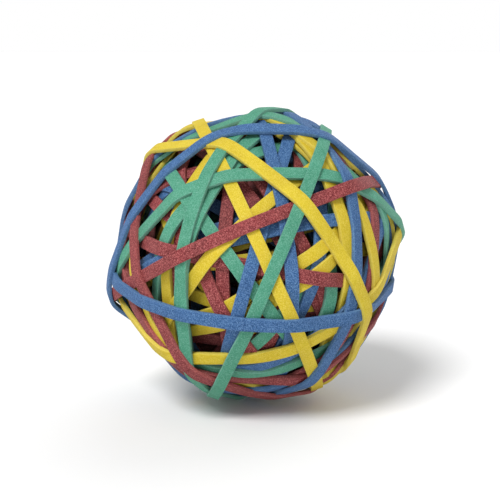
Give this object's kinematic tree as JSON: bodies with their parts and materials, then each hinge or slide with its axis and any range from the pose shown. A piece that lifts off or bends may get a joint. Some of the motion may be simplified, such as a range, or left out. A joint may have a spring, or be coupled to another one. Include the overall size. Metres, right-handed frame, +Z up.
{
  "type": "rubber band ball",
  "caption": "Ball of flat coloured rubber bands, stretched over one another in every direction round a wound core.",
  "frame": {"origin": "the middle of the ball", "axes": "+Z up, -Y out of the face with the level blue band, +X to the right of someone who looks at that face"},
  "size_m": [0.0768, 0.0766, 0.079],
  "materials": {
    "red_rubber": "matt dark red, slightly dusty",
    "green_rubber": "matt sea green, slightly dusty",
    "blue_rubber": "matt mid blue, slightly dusty",
    "yellow_rubber": "matt warm yellow",
    "core_rubber": "matt, the mixed colours of the inner bands in deep shade"
  },
  "bodies": {
    "root": {"band_01_red": "red_rubber", "band_02_blue": "blue_rubber", "band_03_yellow": "yellow_rubber", "band_04_green": "green_rubber", "band_05_red": "red_rubber", "band_06_yellow": "yellow_rubber", "band_07_blue": "blue_rubber", "band_08_red": "red_rubber", "band_09_blue": "blue_rubber", "band_10_yellow": "yellow_rubber", "band_11_red": "red_rubber", "band_12_yellow": "yellow_rubber", "band_13_yellow": "yellow_rubber", "band_14_red": "red_rubber", "band_15_blue": "blue_rubber", "band_16_red": "red_rubber", "band_17_red": "red_rubber", "band_18_red": "red_rubber", "band_19_red": "red_rubber", "band_20_green": "green_rubber", "band_21_green": "green_rubber", "band_22_blue": "blue_rubber", "band_23_yellow": "yellow_rubber", "band_24_yellow": "yellow_rubber", "band_25_red": "red_rubber", "band_26_red": "red_rubber", "band_27_yellow": "yellow_rubber", "band_28_green": "green_rubber", "band_29_yellow": "yellow_rubber", "band_30_blue": "blue_rubber", "band_31_red": "red_rubber", "band_32_green": "green_rubber", "band_33_blue": "blue_rubber", "band_34_yellow": "yellow_rubber", "band_35_yellow": "yellow_rubber", "band_36_green": "green_rubber", "band_37_blue": "blue_rubber", "band_38_blue": "blue_rubber", "band_39_green": "green_rubber", "band_40_red": "red_rubber", "band_41_yellow": "yellow_rubber", "band_42_yellow": "yellow_rubber", "band_43_red": "red_rubber", "band_44_green": "green_rubber", "band_45_blue": "blue_rubber", "band_46_yellow": "yellow_rubber", "band_47_red": "red_rubber", "band_48_blue": "blue_rubber", "band_49_yellow": "yellow_rubber", "band_50_yellow": "yellow_rubber", "band_51_green": "green_rubber", "band_52_blue": "blue_rubber", "band_53_green": "green_rubber", "band_54_red": "red_rubber", "band_55_red": "red_rubber", "band_56_green": "green_rubber", "band_57_blue": "blue_rubber", "band_58_yellow": "yellow_rubber", "band_59_blue": "blue_rubber", "inner_windings": "core_rubber"}
  },
  "joints": []
}
